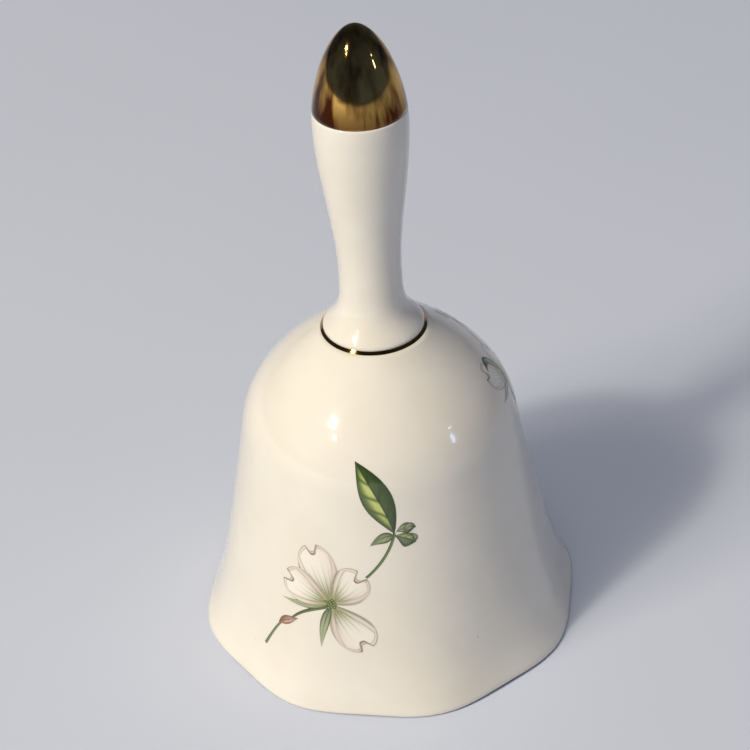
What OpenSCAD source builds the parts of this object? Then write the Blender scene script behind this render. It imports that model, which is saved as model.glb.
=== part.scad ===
// Porcelain table bell: a scalloped skirt with a domed crown, a hollow bud-topped handle
// luted on over the crown, and a bead clapper hung inside on three brass links.
// Millimetres, +Z up. The bell stands on the eight scallops of its rim at Z = 0.

/* [Bell] */

// Height from the table to the point of the handle
total_h = 132; // [124:1:144]
// Height of the seam between crown and handle, covered by the gold collar line
seam_z = 68.3; // [66:0.1:70]
// Radius of the skirt's straight cone if it ran on down to the table
cone_r = 35.7; // [34:0.1:38]
// How much the cone narrows for each millimetre of height
cone_slope = 0.185; // [0.12:0.005:0.22]
// How far the mouth flares out beyond the cone
lip_flare = 2.9; // [1:0.1:4]
// Height over which the flare dies away
flare_h = 6.9; // [5:0.1:12]
// Height at which the skirt starts to turn into the domed crown
shoulder_z = 47; // [42:1:50]
// Thickness of the cast wall
wall = 2.4; // [2:0.1:3]
// Height over which the wall is rounded to the lip
lip_h = 0.8; // [0.5:0.1:1.2]

/* [Scallops] */

// Number of scallops round the mouth
lobes = 8; // [4:1:12]
// Swell of a scallop as a share of the mouth radius
lobe_swell = 0.015; // [0.004:0.001:0.02]
// How far the rim rises between two scallops
lobe_rise = 0.25; // [0:0.05:1.5]
// Direction of the front scallop, measured from +X
lobe_turn = -77.5; // [-90:0.5:-45]
// Depth ground off the foot of each scallop so that the bell stands level
foot_grind = 0.12; // [0.05:0.01:0.3]

/* [Handle] */

// Radius of the handle's foot at the collar line
foot_r = 10; // [9:0.1:11]
// Height over which the foot narrows to the waist
foot_h = 3.6; // [2:0.1:5]
// Radius of the waist
waist_r = 6; // [5.4:0.1:7]
// Height of the waist
waist_z = 80.5; // [76:0.5:84]
// Radius of the bud at its widest
bud_r = 8.8; // [8:0.1:10]
// Height of the bud's widest place
bud_z = 113; // [108:1:116]
// Height of the lower edge of the gilding
gilt_z = 115.5; // [114:0.1:122]
// Thickness of the gold skin
gilt_t = 0.2; // [0.1:0.05:0.4]
// Height of the gold collar line along the surface
band_w = 0.75; // [0.6:0.05:1.4]
// Radius of the bore through crown and handle foot that takes the plug
bore_r = 3.6; // [3.2:0.1:3.8]

/* [Clapper] */

// Radius of the brass wire
wire_r = 0.55; // [0.45:0.05:0.65]
// Radius of a link's end bend, to the middle of the wire
bend_r = 2.1; // [1.9:0.1:2.3]
// Length of a link between the middles of its end wires
link_l = 9; // [8:0.5:9.5]
// Play between two wires where they hang on each other
play = 0.04; // [0.02:0.01:0.08]
// Height of the bottom wire of the hanger eye
eye_z = 58; // [56:0.5:59]
// Radius of the porcelain bead
bead_r = 7.6; // [6.5:0.1:8.2]
// Height of the middle of the bead
bead_z = 20.5; // [19:0.5:22]

/* [Output] */

// Piece to draw, or all of them

/* [Hidden] */

$fn = 96;
porcelain = [0.93, 0.91, 0.86];
gold = [0.80, 0.60, 0.24];
brass = [0.74, 0.60, 0.32];
cement = [0.78, 0.76, 0.71];

ring_n = 96;
crown_in_z = seam_z - 2.7;
register_r = bore_r + 1.8;
register_h = 1;
hollow_top_z = total_h - 6;
stem_wall = waist_r - bore_r;
plug_z = crown_in_z - 0.6;
plug_h = 9;
step_l = link_l - 2 * wire_r - play;
link_z = [eye_z - step_l, eye_z - 2 * step_l, eye_z - 3 * step_l];
loop_top_z = link_z[2] + 2 * wire_r + play;
bead_flat = bead_r * 0.95;
head_r = 1.7;
head_h = 1;

// Skirt without its scallops: a cone with a flare that dies away upwards.
function skirt_r(z) = cone_r - cone_slope * z + lip_flare * exp(-z / flare_h);

// Share of the skirt's width left at a height in the dome that closes to r0 at z0.
function dome(z, z0) = pow(max(0, 1 - pow(max(0, z - shoulder_z) / (z0 - shoulder_z), 2.3)), 1.07);

function outer_r(z) = foot_r + (skirt_r(z) - foot_r) * dome(z, seam_z);

function inner_r(z) = bore_r + (skirt_r(z) - wall - bore_r) * dome(z, crown_in_z);

// Handle from foot to bud: the foot's flare, then a half wave from waist to widest place.
function rise(z) = (1 - cos(180 * min(1, max(0, (z - waist_z) / (bud_z - waist_z))))) / 2;

function stem_r(z) =
    waist_r + (bud_r - waist_r) * rise(z)
        + (foot_r - waist_r) * exp(-pow((z - seam_z) / foot_h, 1.6));

// Bud above its widest place, where its radius is r, closing to a point at top.
function bud(z, r, top) =
    r * pow(max(0, 1 - pow(max(0, z - bud_z) / (top - bud_z), 1.66)), 0.55);

// The bud's porcelain under the gilding.
function bare(z) = bud(z, bud_r - gilt_t, total_h - gilt_t);

// Heights from z0 up to z1 that crowd towards z1, where the surface closes over.
function crowd(z0, z1, n) = [for (i = [0:n]) z0 + (z1 - z0) * sin(90 * i / n)];

// The same heights taken from the top z1 down to z0.
function crowd_down(z1, z0, n) = [for (i = [n:-1:0]) z0 + (z1 - z0) * sin(90 * i / n)];

function even(z0, z1, n) = [for (i = [0:n]) z0 + (z1 - z0) * i / n];

// The gold line's lower and upper edge, and the same two points sunk under the surface.
slope_a = atan2(band_w * 0.75, -band_w * 0.66);
band_low = [foot_r + band_w * 0.33, seam_z - band_w * 0.375];
band_high = [foot_r - band_w * 0.33, seam_z + band_w * 0.375];
band_in = [-sin(slope_a) * 0.18, cos(slope_a) * 0.18];

// Middle of the lip's half oval, from the outer wall under to the inner wall.
lip_mid = skirt_r(lip_h) - wall / 2;

skirt_section = concat(
    [for (z = even(shoulder_z, 12, 7)) [skirt_r(z), z]],
    [for (z = [8.8, 6, 3.8, 2]) [skirt_r(z), z]],
    [for (a = [0:30:180]) [lip_mid + wall / 2 * cos(a), lip_h - lip_h * sin(a)]],
    [for (z = [4, 8, 13]) [skirt_r(z) - wall, z]],
    [for (z = even(19, shoulder_z, 4)) [skirt_r(z) - wall, z]]
);

function fade(z) = pow(max(0, 1 - z / shoulder_z), 2);

// One corner of the scalloped skirt: swollen on a scallop, lifted between two.
function corner(p, a) =
    let (c = cos(lobes * (a - lobe_turn)), f = fade(p[1]))
    let (r = p[0] * (1 + lobe_swell * c * f))
    [r * cos(a), r * sin(a), p[1] + lobe_rise * f * (1 - c) / 2 - foot_grind * f];

module scalloped_skirt() {
    m = len(skirt_section);
    points = [
        for (i = [0:ring_n - 1])
            for (p = skirt_section)
                corner(p, lobe_turn + 360 * i / ring_n)
    ];
    faces = [
        for (i = [0:ring_n - 1])
            for (j = [0:m - 1])
                for (k = [0, 1])
                    let (i2 = (i + 1) % ring_n, j2 = (j + 1) % m)
                    k == 0
                        ? [i * m + j, i2 * m + j, i2 * m + j2]
                        : [i * m + j, i2 * m + j2, i * m + j2]
    ];
    difference() {
        polyhedron(points, faces);
        translate([0, 0, -5])
            cylinder(h = 5, r = 60);
    }
}

// Dome, seam face with its register ring, and the bore for the plug. Its thin skirt
// reaches down inside the scalloped wall, with which it is one casting.
module crown() {
    rotate_extrude()
        polygon(concat(
            [[skirt_r(shoulder_z) - 0.5, shoulder_z - 1.5]],
            [[skirt_r(shoulder_z) - 0.5, shoulder_z]],
            [[skirt_r(shoulder_z) - 0.02, shoulder_z]],
            [for (z = even(shoulder_z + 1.6, band_low[1] - 0.4, 12)) [outer_r(z), z]],
            [band_low],
            [band_low + band_in],
            [[foot_r + band_in[0] + band_in[1] * 0.66 / 0.75, seam_z]],
            [[register_r, seam_z]],
            [[register_r, seam_z + register_h]],
            [[bore_r, seam_z + register_h]],
            [[bore_r, crown_in_z]],
            [for (z = crowd_down(crown_in_z - 0.02, shoulder_z + 1.6, 11)) [inner_r(z), z]],
            [[skirt_r(shoulder_z) - wall + 0.02, shoulder_z]],
            [[skirt_r(shoulder_z) - wall + 0.5, shoulder_z]],
            [[skirt_r(shoulder_z) - wall + 0.5, shoulder_z - 1.5]]
        ));
}

module bell_body() {
    color(porcelain) {
        scalloped_skirt();
        crown();
    }
}

// Hollow handle: open below for the plug, closed under the bud's point.
module handle() {
    color(porcelain)
        rotate_extrude()
            polygon(concat(
                [[register_r, seam_z]],
                [[foot_r + band_in[0] + band_in[1] * 0.66 / 0.75, seam_z]],
                [band_high + band_in],
                [band_high],
                [for (z = even(band_high[1] + 0.5, waist_z, 12)) [stem_r(z), z]],
                [for (z = even(waist_z + 3, bud_z, 10)) [stem_r(z), z]],
                [[bud(gilt_z, bud_r, total_h), gilt_z]],
                [for (z = crowd(gilt_z, total_h - gilt_t, 14)) [bare(z), z]],
                [for (z = crowd_down(hollow_top_z, bud_z + 1, 7)) [bud(z, bud_r - stem_wall, hollow_top_z), z]],
                [for (z = even(bud_z, waist_z, 10)) [max(bore_r, stem_r(z) - stem_wall), z]],
                [[bore_r, seam_z + register_h]],
                [[register_r, seam_z + register_h]]
            ));
}

// Fired gold over the bud's point, laid on the porcelain below it.
module tip_gilding() {
    color(gold)
        rotate_extrude()
            polygon(concat(
                [for (z = crowd(gilt_z, total_h, 16)) [bud(z, bud_r, total_h), z]],
                [for (z = crowd_down(total_h - gilt_t, gilt_z, 14)) [bare(z), z]]
            ));
}

// Gold line over the seam.
module collar_band() {
    color(gold)
        rotate_extrude()
            polygon([band_low, band_high, band_high + band_in, band_low + band_in]);
}

// Plaster set in the bore round the shank of the eye.
module crown_plug() {
    color(cement)
        difference() {
            translate([0, 0, plug_z])
                cylinder(h = plug_h, r = bore_r);
            translate([0, 0, plug_z - 1])
                cylinder(h = plug_h - 1, r = wire_r);
        }
}

module half_bend() {
    rotate([90, 0, 0])
        rotate_extrude(angle = 180)
            translate([bend_r, 0])
                circle(r = wire_r);
}

// Wire loop in the XZ plane, its lowest wire centred on the origin.
module loop() {
    translate([0, 0, bend_r])
        rotate([90, 0, 0])
            rotate_extrude()
                translate([bend_r, 0])
                    circle(r = wire_r);
}

// Oval link in the XZ plane, its lowest wire centred on the origin.
module link() {
    translate([0, 0, bend_r])
        rotate([0, 180, 0])
            half_bend();
    translate([0, 0, link_l - bend_r])
        half_bend();
    for (x = [-bend_r, bend_r])
        translate([x, 0, bend_r])
            cylinder(h = link_l - 2 * bend_r, r = wire_r);
}

// Eye in the YZ plane with its straight shank up into the plug.
module hanger_eye() {
    color(brass) {
        translate([0, 0, eye_z])
            rotate([0, 0, 90])
                loop();
        translate([0, 0, eye_z + 2 * bend_r])
            cylinder(h = plug_z + plug_h - 2 - eye_z - 2 * bend_r, r = wire_r);
    }
}

module link_1() {
    color(brass)
        translate([0, 0, link_z[0]])
            link();
}

module link_2() {
    color(brass)
        translate([0, 0, link_z[1]])
            rotate([0, 0, 90])
                link();
}

module link_3() {
    color(brass)
        translate([0, 0, link_z[2]])
            link();
}

// Headed pin through the bead, its upper end bent into the loop the last link holds.
module clapper_pin() {
    color(brass) {
        translate([0, 0, loop_top_z - 2 * bend_r])
            rotate([0, 0, 90])
                loop();
        translate([0, 0, bead_z - bead_flat])
            cylinder(h = loop_top_z - 2 * bend_r - bead_z + bead_flat, r = wire_r);
        translate([0, 0, bead_z - bead_flat - head_h])
            cylinder(h = head_h, r = head_r);
    }
}

module clapper_bead() {
    color(porcelain)
        difference() {
            intersection() {
                translate([0, 0, bead_z])
                    sphere(r = bead_r);
                translate([0, 0, bead_z - bead_flat])
                    cylinder(h = 2 * bead_flat, r = bead_r + 1);
            }
            translate([0, 0, bead_z - bead_r])
                cylinder(h = 2 * bead_r, r = wire_r);
        }
}

bell_body();
handle();
tip_gilding();
collar_band();
crown_plug();
hanger_eye();
link_1();
link_2();
link_3();
clapper_pin();
clapper_bead();
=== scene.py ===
import math

import bmesh
import bpy
import numpy as np
from mathutils import Matrix


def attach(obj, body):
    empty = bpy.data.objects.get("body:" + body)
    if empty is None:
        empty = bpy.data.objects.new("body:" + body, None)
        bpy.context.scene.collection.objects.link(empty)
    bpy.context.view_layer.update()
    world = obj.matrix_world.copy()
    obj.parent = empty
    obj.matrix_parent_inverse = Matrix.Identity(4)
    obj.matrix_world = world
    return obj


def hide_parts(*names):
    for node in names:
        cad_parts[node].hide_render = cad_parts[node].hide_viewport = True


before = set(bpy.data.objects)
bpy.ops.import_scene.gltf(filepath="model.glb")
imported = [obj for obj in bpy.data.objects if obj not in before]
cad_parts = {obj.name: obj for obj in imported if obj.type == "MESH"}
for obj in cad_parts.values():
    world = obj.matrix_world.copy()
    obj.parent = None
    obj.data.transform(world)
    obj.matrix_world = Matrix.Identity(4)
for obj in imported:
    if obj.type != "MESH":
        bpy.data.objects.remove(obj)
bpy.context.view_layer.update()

# ---------------------------------------------------------------------------
# Skirt and crown
# One slip casting in white porcelain: a scalloped skirt flaring to the mouth
# and a dome that closes it, glazed all over but for the ground scallop feet.
# ---------------------------------------------------------------------------

MM = 0.001
seam_z = 68.3
foot_r = 10.0
bore_r = 3.6
wall = 2.4
shoulder_z = 47.0
front_scallop = math.radians(-77.5)


def skirt_r(z):
    """Radius of the skirt before its scallops: 35.7 - 0.185 z + 2.9 exp(-z / 6.9), in mm."""
    return 35.7 - 0.185 * z + 2.9 * np.exp(-z / 6.9)


def dome(z, z0):
    """Share of the width left in the dome: (1 - ((z - 47) / (z0 - 47)) ^ 2.3) ^ 1.07."""
    return np.maximum(0, 1 - (np.maximum(0, z - shoulder_z) / (z0 - shoulder_z)) ** 2.3) ** 1.07


def outer_r(z):
    """Radius of the glaze outside: the skirt drawn in to the handle's foot by the dome."""
    return foot_r + (skirt_r(z) - foot_r) * dome(z, seam_z)


def scalloped(r, z, a):
    """The round form (r, z) with its eight scallops at angle a, as x, y, z in mm.

    Radius grows by 1.5% on a scallop, the rim rises 0.25 mm between two, both fading
    with (1 - z / 47) squared; the feet are ground flat 0.12 mm up.
    """
    fade = np.maximum(0, 1 - z / shoulder_z) ** 2
    c = np.cos(8 * (a - front_scallop))
    r = r * (1 + 0.015 * c * fade)
    z = np.maximum(0, z + fade * (0.25 * (1 - c) / 2 - 0.12))
    return np.stack([r * np.cos(a), r * np.sin(a), z], axis=-1)


def grid_faces(rows, cols, wrap_rows, wrap_cols):
    """Quads of a grid of rows by cols points, joined round where it wraps."""
    i = np.arange(rows if wrap_rows else rows - 1)
    j = np.arange(cols if wrap_cols else cols - 1)
    i, j = (v.ravel() for v in np.meshgrid(i, j, indexing="ij"))
    i2, j2 = (i + 1) % rows, (j + 1) % cols
    return np.stack([i * cols + j, i2 * cols + j, i2 * cols + j2, i * cols + j2], axis=-1)


def piece(name, points, faces, material, body, node=None, slot=None):
    """A smooth mesh from points in mm, riding on a body in place of a CAD node."""
    mesh = bpy.data.meshes.new(name)
    mesh.from_pydata((points.reshape(-1, 3) * MM).tolist(), [], faces.tolist())
    mesh.polygons.foreach_set("use_smooth", np.ones(len(mesh.polygons), dtype=bool))
    mesh.materials.append(material)
    obj = bpy.data.objects.new(name, mesh)
    bpy.context.scene.collection.objects.link(obj)
    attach(obj, body)
    if node:
        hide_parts(node)
    return obj


def linear(hex_colour):
    """An sRGB hex colour as linear RGBA."""
    c = np.array([int(hex_colour[i : i + 2], 16) for i in (1, 3, 5)]) / 255
    c = np.where(c <= 0.04045, c / 12.92, ((c + 0.055) / 1.055) ** 2.4)
    return (*c.tolist(), 1.0)


def add(mat, kind, settings=None, **links):
    """Adds a node with its settings and its linked or constant inputs, and returns it."""
    node = mat.node_tree.nodes.new("ShaderNode" + kind)
    for key, value in (settings or {}).items():
        setattr(node, key, value)
    for key, value in links.items():
        key = key.replace("_", " ")
        socket = node.inputs[int(key[2:])] if key.startswith("in") else node.inputs[key]
        if isinstance(value, bpy.types.NodeSocket):
            mat.node_tree.links.new(value, socket)
        else:
            socket.default_value = value
    return node


def new_material(name, **constants):
    """A node material with its Principled shader, whose constant sockets are set here."""
    mat = bpy.data.materials.new(name)
    mat.use_nodes = True
    shader = mat.node_tree.nodes["Principled BSDF"]
    for key, value in constants.items():
        shader.inputs[key.replace("_", " ")].default_value = value
    return mat, shader


def glaze(name, body_hex, deep_hex, mottle_mm=14.0):
    """Clear glaze over cream-white porcelain.

    Drawn by kiln and slip: a slow drift of tone, a few iron specks under 0.4 mm, and a
    faint orange-peel ripple about 3 mm across that softens the edges of highlights.
    """
    mat, shader = new_material(
        name, IOR=1.52, Specular_IOR_Level=0.5, Subsurface_Weight=0.12,
        Subsurface_Scale=0.0012, Coat_Weight=0.35, Coat_Roughness=0.03, Coat_IOR=1.5,
    )
    shader.inputs["Subsurface Radius"].default_value = (1.0, 0.75, 0.5)
    where = add(mat, "TexCoord").outputs["Object"]
    drift = add(mat, "TexNoise", Vector=where, Scale=1000 / mottle_mm, Detail=3.0, Roughness=0.55)
    tone = add(mat, "MapRange", Value=drift.outputs[0], From_Min=0.32, From_Max=0.68)
    base = add(
        mat, "Mix", {"data_type": "RGBA"}, in0=tone.outputs[0],
        in6=linear(body_hex), in7=linear(deep_hex),
    )
    cells = add(mat, "TexVoronoi", Vector=where, Scale=1000 / 5.5)
    speck = add(
        mat, "MapRange", {"interpolation_type": "SMOOTHSTEP"}, Value=cells.outputs["Distance"],
        From_Min=0.02, From_Max=0.045, To_Min=1.0, To_Max=0.0,
    )
    pick = add(mat, "SeparateColor", Color=cells.outputs["Color"])
    rare = add(mat, "Math", {"operation": "GREATER_THAN"}, in0=pick.outputs[0], in1=0.86)
    dot = add(mat, "Math", {"operation": "MULTIPLY"}, in0=speck.outputs[0], in1=rare.outputs[0])
    dot = add(mat, "Math", {"operation": "MULTIPLY"}, in0=dot.outputs[0], in1=0.38)
    base = add(
        mat, "Mix", {"data_type": "RGBA"}, in0=dot.outputs[0],
        in6=base.outputs[2], in7=linear("#8b7350"),
    )
    mat.node_tree.links.new(base.outputs[2], shader.inputs["Base Color"])
    gloss = add(mat, "TexNoise", Vector=where, Scale=1000 / 7.0, Detail=2.0)
    rough = add(
        mat, "MapRange", Value=gloss.outputs[0], From_Min=0.3, From_Max=0.7, To_Min=0.07, To_Max=0.13
    )
    height = add(mat, "SeparateXYZ", Vector=where)
    ground = add(
        mat, "MapRange", {"interpolation_type": "SMOOTHSTEP"}, Value=height.outputs[2],
        From_Min=0.00012, From_Max=0.0005, To_Min=0.55, To_Max=0.0,
    )
    rough = add(mat, "Math", {"operation": "ADD"}, in0=rough.outputs[0], in1=ground.outputs[0])
    mat.node_tree.links.new(rough.outputs[0], shader.inputs["Roughness"])
    peel = add(mat, "TexNoise", Vector=where, Scale=1000 / 3.0, Detail=1.0)
    bump = add(mat, "Bump", Strength=0.05, Distance=0.0004, Height=peel.outputs[0])
    mat.node_tree.links.new(bump.outputs[0], shader.inputs["Normal"])
    return mat


glazed_porcelain = glaze("glazed_porcelain", "#f0ebe0", "#ebe5d8")

# The gold line's two edges, and the step under it in which it lies.
band_w = 0.75
band_low = np.array([foot_r + band_w * 0.33, seam_z - band_w * 0.375])
band_high = np.array([foot_r - band_w * 0.33, seam_z + band_w * 0.375])
band_t = 0.18
across = np.array([-0.75, -0.66]) / math.hypot(0.75, 0.66) * band_t

lip_h = 0.8
lip_mid = skirt_r(lip_h) - wall / 2
down = np.concatenate([
    band_low[1] - (band_low[1] - shoulder_z) * np.linspace(0, 1, 34),
    shoulder_z - (shoulder_z - lip_h) * np.linspace(0, 1, 46)[1:-1] ** 0.85,
])
turn = np.linspace(0, math.pi, 17)
lip = np.stack([lip_mid + wall / 2 * np.cos(turn), lip_h - lip_h * np.sin(turn)], axis=-1)
crown_t = 2.7
crown_in_z = seam_z - crown_t
up = np.concatenate([
    lip_h + (shoulder_z - lip_h) * np.linspace(0, 1, 30)[1:] ** 1.15,
    shoulder_z + (crown_in_z - shoulder_z) * np.sin(np.linspace(0, math.pi / 2, 22)[1:]),
])
inside = bore_r + (skirt_r(up) - wall - bore_r) * dome(up, crown_in_z)
section = np.concatenate([
    [[bore_r + 1.8, seam_z], [foot_r - 0.3, seam_z], band_low + across],
    np.stack([outer_r(down), down], axis=-1),
    lip,
    np.stack([inside, up], axis=-1),
    [[bore_r, seam_z + 1], [bore_r + 1.8, seam_z + 1]],
])
around = front_scallop + np.linspace(0, 2 * math.pi, 384, endpoint=False)
shell = scalloped(section[:, 0][:, None], section[:, 1][:, None], around[None, :])
piece(
    "bell_body_glazed", shell, grid_faces(len(section), len(around), True, True)[:, ::-1],
    glazed_porcelain, "bell", "bell_body", "glazed_porcelain",
)

# ---------------------------------------------------------------------------
# Handle
# A hollow porcelain casting, luted on over the crown and glazed with it: a
# flared foot, a narrow waist and a bud that swells to the gilding.
# ---------------------------------------------------------------------------

waist_r, waist_z = 6.0, 80.5
bud_r, bud_z, total_h = 8.8, 113.0, 132.0
gilt_z, gilt_t = 115.5, 0.2
hollow_top_z = total_h - 6


def stem_r(z):
    """Waist, half a cosine wave up to the bud, and the foot's flare exp(-(h / 3.6 mm) ^ 1.6)."""
    rise = (1 - np.cos(math.pi * np.clip((z - waist_z) / (bud_z - waist_z), 0, 1))) / 2
    flare = np.exp(-(((z - seam_z) / 3.6) ** 1.6))
    return waist_r + (bud_r - waist_r) * rise + (foot_r - waist_r) * flare


def bud(z, r, top):
    """The bud closing to its point: r (1 - ((z - 113) / (top - 113)) ^ 1.66) ^ 0.55."""
    return r * np.maximum(0, 1 - (np.maximum(0, z - bud_z) / (top - bud_z)) ** 1.66) ** 0.55


def crowded(z0, z1, n):
    """Heights from z0 to z1 that crowd towards z1, where the surface closes over."""
    return z0 + (z1 - z0) * np.sin(np.linspace(0, math.pi / 2, n))


def turned(profile, n=192):
    """A closed profile of (r, z) carried round the axis."""
    a = np.linspace(0, 2 * math.pi, n, endpoint=False)[None, :]
    r, z = profile[:, 0][:, None], profile[:, 1][:, None]
    return np.stack([r * np.cos(a), r * np.sin(a), z + 0 * a], axis=-1)


def close_poles(obj):
    """Closes the poles: corners of one place become one, and faces of no area go."""
    bm = bmesh.new()
    bm.from_mesh(obj.data)
    bmesh.ops.remove_doubles(bm, verts=bm.verts, dist=2e-7)
    bmesh.ops.dissolve_degenerate(bm, edges=bm.edges, dist=1e-8)
    bmesh.ops.recalc_face_normals(bm, faces=bm.faces)
    bm.to_mesh(obj.data)
    bm.free()


def closed_turned(name, profile, *rest):
    """A turned piece whose profile starts and ends on the axis or comes back to its start."""
    on_axis = profile[0, 0] == 0 and profile[-1, 0] == 0
    points = turned(profile)
    faces = grid_faces(len(profile), points.shape[1], not on_axis, True)[:, ::-1]
    obj = piece(name, points, faces, *rest)
    close_poles(obj)
    return obj


z_foot = np.linspace(band_high[1] + 0.5, waist_z, 30)
z_stem = np.linspace(waist_z, gilt_z, 60)[1:]
stem_or_bud = np.where(z_stem < bud_z, stem_r(z_stem), bud(z_stem, bud_r, total_h))
z_bare = crowded(gilt_z, total_h - gilt_t, 24)
z_hollow = crowded(bud_z, hollow_top_z, 16)[::-1]
z_bore = np.linspace(bud_z, waist_z, 30)[1:]
handle_profile = np.concatenate([
    [[bore_r + 1.8, seam_z], [foot_r - 0.3, seam_z], band_high + across, band_high],
    np.stack([stem_r(z_foot), z_foot], axis=-1),
    np.stack([stem_or_bud, z_stem], axis=-1),
    np.stack([bud(z_bare, bud_r - gilt_t, total_h - gilt_t), z_bare], axis=-1),
    np.stack([bud(z_hollow, bud_r - wall, hollow_top_z), z_hollow], axis=-1),
    np.stack([np.maximum(bore_r, stem_r(z_bore) - wall), z_bore], axis=-1),
    [[bore_r, seam_z + 1], [bore_r + 1.8, seam_z + 1]],
])
glazed_handle = glaze("glazed_porcelain_handle", "#f0ebe0", "#ebe5d8", 11.0)
closed_turned(
    "handle_glazed", handle_profile, glazed_handle, "bell", "handle", "glazed_porcelain_handle"
)

# ---------------------------------------------------------------------------
# Gilding
# Bright gold painted on the fired glaze and fired again at a lower heat: over
# the bud down to a cut line, and as one thin line over the seam.
# ---------------------------------------------------------------------------


def lustre(name, hex_gold, hex_reflected_dark, edge_z, dark_band_mm, dark_streak_share):
    """Fired gold: a mirror that wavers with the brush, with painted dark reflections in long streaks
    and a painted dark band above its lower edge.
    """
    mat, shader = new_material(name, Metallic=1.0)
    where = add(mat, "TexCoord").outputs["Object"]
    long = add(mat, "Mapping", Vector=where)
    long.inputs["Scale"].default_value = (1.0, 1.0, 0.16)
    brush_and_reflection_streaks = add(mat, "TexNoise", Vector=long.outputs[0], Scale=1000 / 3.4, Detail=3.0)
    height = add(mat, "SeparateXYZ", Vector=where)
    # Painted dark reflection: the gold darkens towards its lower edge and clears upward over the
    # given height.
    edge = add(
        mat, "MapRange", {"interpolation_type": "SMOOTHSTEP"}, Value=height.outputs[2],
        From_Min=edge_z * MM, From_Max=(edge_z + dark_band_mm) * MM, To_Min=0.72, To_Max=0.0,
    )
    # Painted dark reflections: long streaks in which the gold turns towards the dark colour.
    painted_dark_streaks = add(
        mat, "MapRange", Value=brush_and_reflection_streaks.outputs[0],
        From_Min=0.44, From_Max=0.66, To_Min=0.0, To_Max=dark_streak_share,
    )
    # Both painted dark reflections together set how far the gold turns to the dark colour.
    painted_reflection = add(mat, "Math", {"operation": "ADD"}, in0=edge.outputs[0], in1=painted_dark_streaks.outputs[0])
    base = add(
        mat, "Mix", {"data_type": "RGBA"}, in0=painted_reflection.outputs[0],
        in6=linear(hex_gold), in7=linear(hex_reflected_dark),
    )
    mat.node_tree.links.new(base.outputs[2], shader.inputs["Base Color"])
    rough = add(
        mat, "MapRange", Value=brush_and_reflection_streaks.outputs[0],
        From_Min=0.3, From_Max=0.8, To_Min=0.04, To_Max=0.14,
    )
    mat.node_tree.links.new(rough.outputs[0], shader.inputs["Roughness"])
    waver = add(mat, "TexNoise", Vector=where, Scale=1000 / 4.5, Detail=1.0)
    bump = add(mat, "Bump", Strength=0.25, Distance=0.0003, Height=waver.outputs[0])
    mat.node_tree.links.new(bump.outputs[0], shader.inputs["Normal"])
    return mat


# The tip's gold, with painted dark reflections in #4c230f: streaks, and a band 7 mm high above the
# cut line.
fired_gold = lustre("fired_gold_lustre", "#dcb060", "#4c230f", gilt_z, 7.0, 0.9)
z_gilt = crowded(gilt_z, total_h, 40)
gilt_profile = np.concatenate([
    np.stack([bud(z_gilt, bud_r, total_h), z_gilt], axis=-1),
    np.stack([bud(z_bare, bud_r - gilt_t, total_h - gilt_t), z_bare], axis=-1)[::-1],
])
closed_turned(
    "tip_gilding_fired", gilt_profile, fired_gold, "bell", "tip_gilding", "fired_gold_lustre"
)

# The seam line's gold, with painted dark reflections in #5a3714: streaks, and a band 0.3 mm high at
# its lower edge.
gold_line = lustre("fired_gold_line", "#c8923a", "#5a3714", band_low[1], 0.3, 0.5)
swell = np.linspace(0, math.pi, 7)[1:-1]
run = band_high - band_low
bowed = band_low + run * (1 - np.cos(swell))[:, None] / 2
collar_profile = np.concatenate([
    [band_low + across, band_low], bowed, [band_high, band_high + across],
])
closed_turned(
    "collar_band_fired", collar_profile, gold_line, "bell", "collar_band", "fired_gold_line"
)

# ---------------------------------------------------------------------------
# Printed sprays
# Flower and leaf printed in ceramic colours as a transfer, slid on wet over the
# fired glaze and fired on, so that each part lies as a thin film in the gloss.
# ---------------------------------------------------------------------------

front_a = math.radians(-100)
print_r = 30
heart = (-6.2, 23.4)


def on_glaze(x, y, lift):
    """A print's point, x mm round the bell at a 30 mm radius and y mm up, lifted off the glaze."""
    return scalloped(outer_r(y) + lift, y, front_a + x / print_r)


def printed(name, sheets, lift, material):
    """One film from sheets (x, y, marks): grids of points whose four marks steer the colours."""
    points, faces, marks, start = [], [], [], 0
    for layer, (x, y, mark) in enumerate(sheets):
        rows, cols = x.shape
        quads = grid_faces(rows, cols, False, False)
        x_down, y_down = np.diff(x, axis=0)[:, :-1], np.diff(y, axis=0)[:, :-1]
        x_over, y_over = np.diff(x, axis=1)[:-1], np.diff(y, axis=1)[:-1]
        area = np.sum(x_down * y_over - y_down * x_over)
        points.append(on_glaze(x, y, lift + 0.003 * layer).reshape(-1, 3))
        faces.append((quads if area > 0 else quads[:, ::-1]) + start)
        marks.append(np.stack([np.broadcast_to(m, x.shape) for m in mark], axis=-1).reshape(-1, 4))
        start += rows * cols
    obj = piece(name, np.concatenate(points), np.concatenate(faces), material, "bell")
    colours = obj.data.attributes.new("marks", "FLOAT_COLOR", "POINT")
    flat = np.clip(np.concatenate(marks), 0, 1).astype(np.float32).ravel()
    colours.data.foreach_set("color", flat)
    return obj


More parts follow.
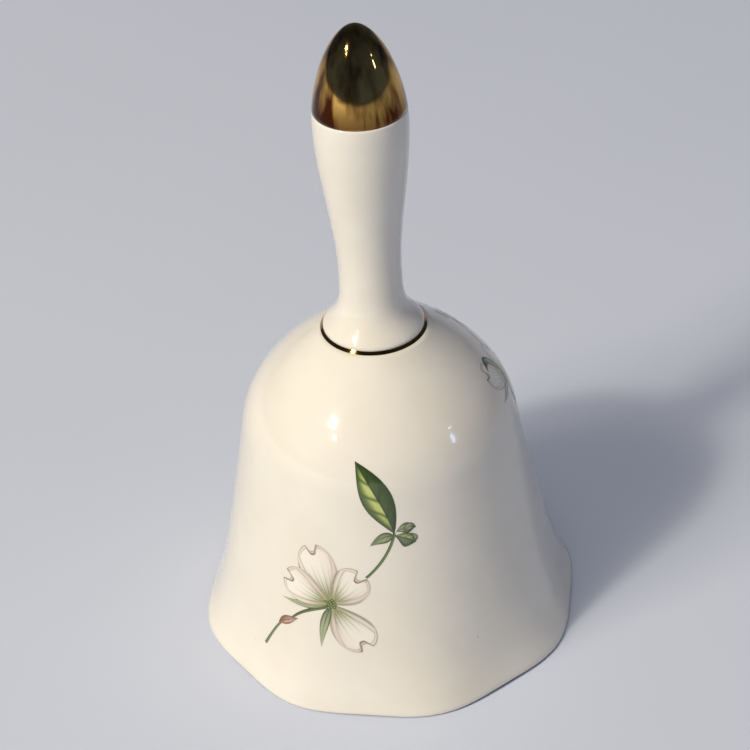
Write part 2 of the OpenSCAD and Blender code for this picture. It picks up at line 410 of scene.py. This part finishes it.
def ceramic_colour(name, ground, *inks):
    """Printed ceramic colour: a ground colour and up to four inks, each laid on by its mark.

    The print's grain, about 0.25 mm, breaks up each ink a little; the film keeps the gloss
    of the glaze it has sunk into.
    """
    mat, shader = new_material(
        name, IOR=1.52, Coat_Weight=0.35, Coat_Roughness=0.03, Coat_IOR=1.5, Roughness=0.1
    )
    marks = add(mat, "Attribute", {"attribute_name": "marks"})
    split = add(mat, "SeparateColor", Color=marks.outputs["Color"])
    channels = [*split.outputs, marks.outputs["Alpha"]]
    where = add(mat, "TexCoord").outputs["Object"]
    grain = add(mat, "TexNoise", Vector=where, Scale=1000 / 0.25, Detail=2.0)
    grain = add(
        mat, "MapRange", Value=grain.outputs[0], From_Min=0.3, From_Max=0.7, To_Min=0.82, To_Max=1.08
    )
    colour = linear(ground)
    for channel, ink in zip(channels, inks):
        share = add(
            mat, "Math", {"operation": "MULTIPLY", "use_clamp": True},
            in0=channel, in1=grain.outputs[0],
        )
        laid = add(
            mat, "Mix", {"data_type": "RGBA"}, in0=share.outputs[0], in6=colour, in7=linear(ink)
        )
        colour = laid.outputs[2]
    mat.node_tree.links.new(colour, shader.inputs["Base Color"])
    peel = add(mat, "TexNoise", Vector=where, Scale=1000 / 3.0, Detail=1.0)
    bump = add(mat, "Bump", Strength=0.05, Distance=0.0004, Height=peel.outputs[0])
    mat.node_tree.links.new(bump.outputs[0], shader.inputs["Normal"])
    return mat


def ridge(distance, width):
    """A soft line: exp(-(distance / width) squared)."""
    return np.exp(-((distance / width) ** 2))


def petal(base, tip, half_width, notch, turn_up):
    """A bract from its base to its notched end, as a fan of lines s closed by an oval cap.

    Along: s times the cap's reach, 0.6 + 0.4 (1 - |t| ^ 2.2) ^ 0.5 less a bell-shaped notch;
    across: t times the half width, opened with sin(s) ^ 0.9. The notch is edged in brown.
    """
    s, t = np.linspace(0, 1, 84)[:, None], np.linspace(-1, 1, 72)[None, :]
    base, tip = np.array(base), np.array(tip)
    length = np.linalg.norm(tip - base)
    along = (tip - base) / length
    side = np.array([-along[1], along[0]])
    cap = 0.6 + 0.4 * np.sqrt(np.maximum(0, 1 - np.abs(t) ** 2.2))
    reach = length * cap - notch * np.exp(-((t / 0.24) ** 4))
    spread = half_width * (0.13 + 0.87 * np.sin(s * math.pi / 2) ** 0.9)
    bow = turn_up * s**2
    x = base[0] + along[0] * s * reach + side[0] * (t * spread + bow)
    y = base[1] + along[1] * s * reach + side[1] * (t * spread + bow)
    edge = np.minimum((1 - np.abs(t)) * spread, (1 - s) * reach)
    veins = sum(ridge((t - k) * spread, 0.1) for k in (-0.62, -0.3, 0.05, 0.34, 0.66))
    veins = veins * np.clip(1.15 - 1.5 * s, 0, 1)
    curl = np.hypot(t * spread / 1.15, (1 - s) * reach / 0.75)
    ink = 0.95 * ridge(edge - 0.08, 0.15) + 0.6 * ridge(edge - 0.72, 0.13) + 0.55 * veins
    green = 1.0 * ridge(s, 0.34) + 0.35 * veins
    brown = 1.5 * ridge(curl - 0.85, 0.24) * ridge(t, 0.5) * (s > 0.6)
    brown = brown + 0.8 * ridge(t + 0.3, 0.1) * ridge((1 - s) * reach - 0.2, 0.4)
    shade = 0.6 * np.clip(-t, 0, 1) ** 1.5 * s + 0.4 * ridge(edge - 0.4, 0.3)
    return x, y, (ink, green, brown, shade)


def blade(start, bend, end, left, right, peak, lit, fade=0.0):
    """A leaf on a bent midrib: widths to its left and right that swell and close with a sine.

    Its left half shows light panels between side veins; with fade its end pales away.
    """
    s, t = np.linspace(0, 1, 120)[:, None], np.linspace(-1, 1, 60)[None, :]
    start, bend, end = (np.array(p, dtype=float) for p in (start, bend, end))
    mid = (1 - s) ** 2 * start + 2 * s * (1 - s) * bend + s**2 * end
    run = 2 * (1 - s) * (bend - start) + 2 * s * (end - bend)
    run = run / np.linalg.norm(run, axis=1, keepdims=True)
    swell = np.sin(math.pi * s ** (math.log(0.5) / math.log(peak)))
    out = np.where(t < 0, left, right) * t * swell
    x = mid[:, :1] + run[:, 1:] * out
    y = mid[:, 1:] - run[:, :1] * out
    edge = (1 - np.abs(t)) * np.where(t < 0, left, right) * swell
    veins = np.abs((s - 0.22 * np.abs(t)) * 4.3 % 1 - 0.5) * 2
    panels = np.clip(2.2 * (1 - veins), 0, 1) * ridge(np.maximum(0, np.abs(t) - 0.3), 0.26)
    panels = panels * np.clip(4 * (s - 0.03), 0, 1) * np.clip(5 * (0.93 - s), 0, 1)
    light = lit * np.where(t < -0.04, 1.0, 0.05) * panels
    dark = 0.8 * ridge(t, 0.06) + 0.3 + 0.62 * np.where(t > 0, 1.0, 0.35)
    dark = dark + 0.3 * ridge(edge - 0.1, 0.25)
    pale = 0.8 * ridge(s - 0.4, 0.3) * ridge(np.abs(t) - 0.4, 0.35)
    pale = (1 - lit) * (pale + fade * np.clip(1.7 * s - 0.6, 0, 0.95))
    return x, y, (dark * (1 - 0.85 * light), light, 0 * light, pale)


def strand(path, width_start, width_end, tone):
    """A stem: a ribbon along a curve through four points, darker at its lower edge."""
    s, t = np.linspace(0, 1, 60)[:, None], np.linspace(-1, 1, 9)[None, :]
    a, b, c, d = (np.array(p, dtype=float) for p in path)
    mid = (1 - s) ** 3 * a + 3 * s * (1 - s) ** 2 * b + 3 * s**2 * (1 - s) * c + s**3 * d
    run = 3 * (1 - s) ** 2 * (b - a) + 6 * s * (1 - s) * (c - b) + 3 * s**2 * (d - c)
    run = run / np.linalg.norm(run, axis=1, keepdims=True)
    half = (width_start + (width_end - width_start) * s) / 2
    x = mid[:, :1] + run[:, 1:] * t * half
    y = mid[:, 1:] - run[:, :1] * t * half
    ink = tone * (0.7 + 0.4 * t + 0 * s)
    return x, y, (ink, 0.12 * ridge(t + 0.3, 0.5) + 0 * s, 0 * x, 0.5 * (1 - tone) + 0 * x)


def dots(centre, ring_mm, dot_mm, n):
    """Round dots on a ring and one in its middle."""
    sheets = []
    for k in range(n + 1):
        a = 2 * math.pi * k / n
        far = ring_mm * (k < n) * (0.8 + 0.3 * math.sin(5 * a))
        s, t = np.linspace(0, 1, 6)[:, None], np.linspace(0, 2 * math.pi, 17)[None, :]
        x = centre[0] + far * math.cos(a) + dot_mm * s * np.cos(t)
        y = centre[1] + far * math.sin(a) + dot_mm * s * np.sin(t)
        ink, light = 0.55 + 0.45 * s**2 + 0 * t, 0.45 * (1 - s**2) ** 2 + 0 * t
        sheets.append((x, y, (ink, light, 0 * x, 0 * x)))
    return sheets


petal_colour = ceramic_colour(
    "printed_petal", "#f4eee2", "#8c7c64", "#858a52", "#553a33", "#d6c6ba"
)
leaf_colour = ceramic_colour(
    "printed_leaf_green", "#6a7d48", "#2f4222", "#c6d078", "#553a33", "#b4bb98"
)
bud_colour = ceramic_colour(
    "printed_bud_red", "#b47a60", "#6a4c38", "#dfb9a4", "#553a33", "#e6d2c2"
)


def spray(name, place, whole):
    """A spray, drawn in its own millimetres and set by place(x, y); only a whole one has a bud."""

    def put(sheets):
        return [(*place(x, y), marks) for x, y, marks in sheets]

    stems = [
        strand(((6.6, 39.6), (5.9, 36.4), (3.4, 32.6), (0.6, 30.0)), 0.62, 0.55, 0.8),
        strand(((-6.8, 22.9), (-9.5, 21.4), (-12.0, 20.8), (-14.4, 17.4)), 0.95, 0.4, 1.0),
        strand(((-15.4, 17.0), (-17.2, 15.0), (-18.4, 12.0), (-19.6, 9.0)), 0.4, 0.6, 0.75),
    ]
    leaves = [
        blade((6.6, 39.4), (4.3, 47.4), (-1.2, 54.0), 3.3, 3.1, 0.5, 1.0),
        blade((6.4, 39.1), (8.8, 38.7), (10.8, 37.2), 1.1, 1.9, 0.6, 0.55, 0.35),
        blade((9.6, 39.3), (12.4, 38.2), (9.4, 36.9), 0.3, 0.8, 0.5, 0.0),
        blade((6.8, 39.6), (8.0, 40.8), (10.9, 40.4), 1.1, 1.2, 0.66, 0.0),
        blade((8.4, 39.6), (9.8, 41.4), (11.0, 40.2), 0.8, 0.8, 0.5, 0.0),
        blade((6.4, 39.0), (4.2, 39.2), (1.6, 37.0), 1.2, 1.0, 0.4, 0.3, 0.5),
        blade((-6.8, 23.1), (-10.8, 21.6), (-16.6, 21.6), 0.7, 0.8, 0.4, 0.0, 1.0),
        blade((-6.3, 22.8), (-7.9, 18.6), (-7.9, 13.6), 0.9, 0.9, 0.36, 0.0, 1.0),
    ]
    petals = [
        petal((-6.5, 23.9), (-10.6, 35.6), 4.1, 1.5, 0.3),
        petal((-5.8, 23.8), (0.4, 30.4), 3.8, 1.6, 0.5),
        petal((-5.9, 23.0), (0.4, 13.9), 3.9, 1.4, 0.3),
        petal((-6.8, 23.6), (-16.6, 26.5), 3.6, 1.6, -0.5),
    ]
    if not whole:
        stems = stems[:1]
    printed(name + "_stems", put(stems), 0.02, leaf_colour)
    printed(name + "_leaves", put(leaves), 0.03, leaf_colour)
    printed(name + "_petals", put(petals), 0.04, petal_colour)
    if whole:
        bud_sheets = [blade((-12.6, 18.3), (-14.8, 17.2), (-17.0, 15.4), 0.8, 1.0, 0.6, 0.5)]
        printed(name + "_bud", put(bud_sheets), 0.045, bud_colour)
    printed(name + "_heart", put(dots(heart, 0.95, 0.36, 9)), 0.05, leaf_colour)


def as_drawn(x, y):
    """The front spray lies as it was drawn."""
    return x, y


def round_the_side(x, y):
    """The side spray: 0.8 size, mirrored, turned about its heart, moved to the right shoulder.

    The dome is narrower there and slopes, so widths round the bell grow by 1.2 and heights
    shrink by 0.85 to keep the print its true size on the glaze.
    """
    turn_by = math.radians(-91)
    u, v = -0.8 * (x - heart[0]), 0.8 * (y - heart[1])
    return (
        52.8 + 1.2 * (u * math.cos(turn_by) - v * math.sin(turn_by)),
        53.6 + 0.85 * (u * math.sin(turn_by) + v * math.cos(turn_by)),
    )


spray("front_spray", as_drawn, True)
spray("side_spray", round_the_side, False)
curled_leaf = [blade((53.4, 53.4), (51.6, 60.4), (46.6, 57.6), 0.5, 1.3, 0.36, 0.0)]
printed("side_spray_curled_leaf", curled_leaf, 0.06, leaf_colour)

# ---------------------------------------------------------------------------
# Plug, eye and chain
# A brass wire eye set in plaster in the crown's bore, and three oval links of
# the same wire, each bent round and closed.
# ---------------------------------------------------------------------------


def drawn_brass(name, hex_bright, hex_dull):
    """Drawn wire: faint lines from the die, and a brown tarnish gathered unevenly."""
    mat, shader = new_material(name, Metallic=1.0)
    where = add(mat, "TexCoord").outputs["Object"]
    tarnish = add(mat, "TexNoise", Vector=where, Scale=1000 / 2.2, Detail=4.0)
    mask = add(mat, "MapRange", Value=tarnish.outputs[0], From_Min=0.4, From_Max=0.7)
    base = add(
        mat, "Mix", {"data_type": "RGBA"}, in0=mask.outputs[0],
        in6=linear(hex_bright), in7=linear(hex_dull),
    )
    mat.node_tree.links.new(base.outputs[2], shader.inputs["Base Color"])
    rough = add(
        mat, "MapRange", Value=tarnish.outputs[0],
        From_Min=0.3, From_Max=0.75, To_Min=0.22, To_Max=0.5,
    )
    mat.node_tree.links.new(rough.outputs[0], shader.inputs["Roughness"])
    lines = add(mat, "TexNoise", Vector=where, Scale=1000 / 0.25, Detail=1.0)
    bump = add(mat, "Bump", Strength=0.15, Distance=0.00005, Height=lines.outputs[0])
    mat.node_tree.links.new(bump.outputs[0], shader.inputs["Normal"])
    return mat


for node_name in ("hanger_eye", "link_1", "link_2", "link_3", "clapper_pin"):
    wire = drawn_brass("drawn_brass_" + node_name, "#c9a25a", "#7a5a2c")
    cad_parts[node_name].data.materials[0] = wire

plaster, plaster_shader = new_material("setting_plaster", Roughness=0.85, Specular_IOR_Level=0.3)
grit_at = add(plaster, "TexCoord").outputs["Object"]
grit = add(plaster, "TexNoise", Vector=grit_at, Scale=1000 / 0.6, Detail=4.0)
grit_tone = add(
    plaster, "Mix", {"data_type": "RGBA"}, in0=grit.outputs[0],
    in6=linear("#d8d2c4"), in7=linear("#b5ac99"),
)
plaster.node_tree.links.new(grit_tone.outputs[2], plaster_shader.inputs["Base Color"])
grit_bump = add(plaster, "Bump", Strength=0.5, Distance=0.0002, Height=grit.outputs[0])
plaster.node_tree.links.new(grit_bump.outputs[0], plaster_shader.inputs["Normal"])
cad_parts["crown_plug"].data.materials[0] = plaster

bead_glaze = glaze("glazed_porcelain_bead", "#ece5d6", "#e3dbc9", 6.0)
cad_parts["clapper_bead"].data.materials[0] = bead_glaze

# ---------------------------------------------------------------------------
# Studio
# A pale table top, one soft warm light from the left and a weaker cool one
# from the right, and the camera.
# ---------------------------------------------------------------------------

table_top, table_shader = new_material("pale_table", Roughness=0.75)
table_at = add(table_top, "TexCoord").outputs["Object"]
cloud = add(table_top, "TexNoise", Vector=table_at, Scale=6.0, Detail=2.0)
table_tone = add(
    table_top, "Mix", {"data_type": "RGBA"}, in0=cloud.outputs[0],
    in6=linear("#d3daea"), in7=linear("#cdd4e4"),
)
table_top.node_tree.links.new(table_tone.outputs[2], table_shader.inputs["Base Color"])
floor_mesh = bpy.data.meshes.new("floor")
floor_mesh.from_pydata([(-4, -4, 0), (4, -4, 0), (4, 4, 0), (-4, 4, 0)], [], [(0, 1, 2, 3)])
floor_mesh.materials.append(table_top)
floor = bpy.data.objects.new("floor", floor_mesh)
bpy.context.scene.collection.objects.link(floor)

middle = np.array([0, 0, 0.06])


def softbox(name, azimuth, elevation, distance, size, watts, hex_colour):
    """An area light on a sphere round the bell, turned to face it. Azimuth 0 is towards -Y."""
    a, e = math.radians(azimuth), math.radians(elevation)
    out = np.array([math.sin(a) * math.cos(e), -math.cos(a) * math.cos(e), math.sin(e)])
    light = bpy.data.lights.new(name, "AREA")
    light.shape = "RECTANGLE"
    light.size, light.size_y = size
    light.energy = watts
    light.color = linear(hex_colour)[:3]
    obj = bpy.data.objects.new(name, light)
    side = np.cross([0, 0, 1], out)
    side /= np.linalg.norm(side)
    turn_to = Matrix(np.stack([side, np.cross(out, side), out], axis=1).tolist())
    obj.matrix_world = Matrix.Translation((middle + out * distance).tolist()) @ turn_to.to_4x4()
    bpy.context.scene.collection.objects.link(obj)
    return obj


softbox("warm_key", -53, 41, 2.4, (0.2, 0.2), 17.0, "#fff4e0")
softbox("soft_key", -57, 36, 2.4, (1.0, 1.0), 33.5, "#fff6e4").visible_glossy = False
softbox("ceiling", -30, 80, 2.4, (1.4, 1.4), 20.0, "#fff9ee").visible_glossy = False
softbox("warm_low", -46, 34, 2.4, (0.12, 0.08), 1.6, "#ffe9bb")
softbox("cool_window", 63, 18, 2.4, (0.12, 0.30), 1.2, "#bcd0ff")
softbox("cool_pane", 66, 26, 2.4, (0.08, 0.08), 0.3, "#bcd0ff")

world = bpy.data.worlds.new("studio")
bpy.context.scene.world = world
world.use_nodes = True
sky = world.node_tree.nodes["Background"]
upward = add(world, "SeparateXYZ", in0=add(world, "TexCoord").outputs["Generated"])
fall = add(
    world, "MapRange", Value=upward.outputs[2], From_Min=0.0, From_Max=0.75, To_Min=0.19, To_Max=0.07
)
world.node_tree.links.new(fall.outputs[0], sky.inputs["Strength"])
sky.inputs["Color"].default_value = linear("#94aeea")

eye = np.array([0.0, -0.34323, 0.31227])
right = np.array([0.99783165, -0.03862769, -0.05329069])
ahead = np.array([-0.00095726, 0.80106572, -0.59857563])
ahead /= np.linalg.norm(ahead)
right -= ahead * (right @ ahead)
right /= np.linalg.norm(right)
camera_data = bpy.data.cameras.new("camera")
camera_data.sensor_width = 36.0
camera_data.lens = 105.86
camera = bpy.data.objects.new("camera", camera_data)
facing = Matrix(np.stack([right, np.cross(right, ahead), -ahead], axis=1).tolist())
camera.matrix_world = Matrix.Translation(eye.tolist()) @ facing.to_4x4()
camera_data.clip_start, camera_data.clip_end = 0.01, 50
bpy.context.scene.collection.objects.link(camera)
bpy.context.scene.camera = camera
bpy.context.scene.view_settings.view_transform = "Standard"
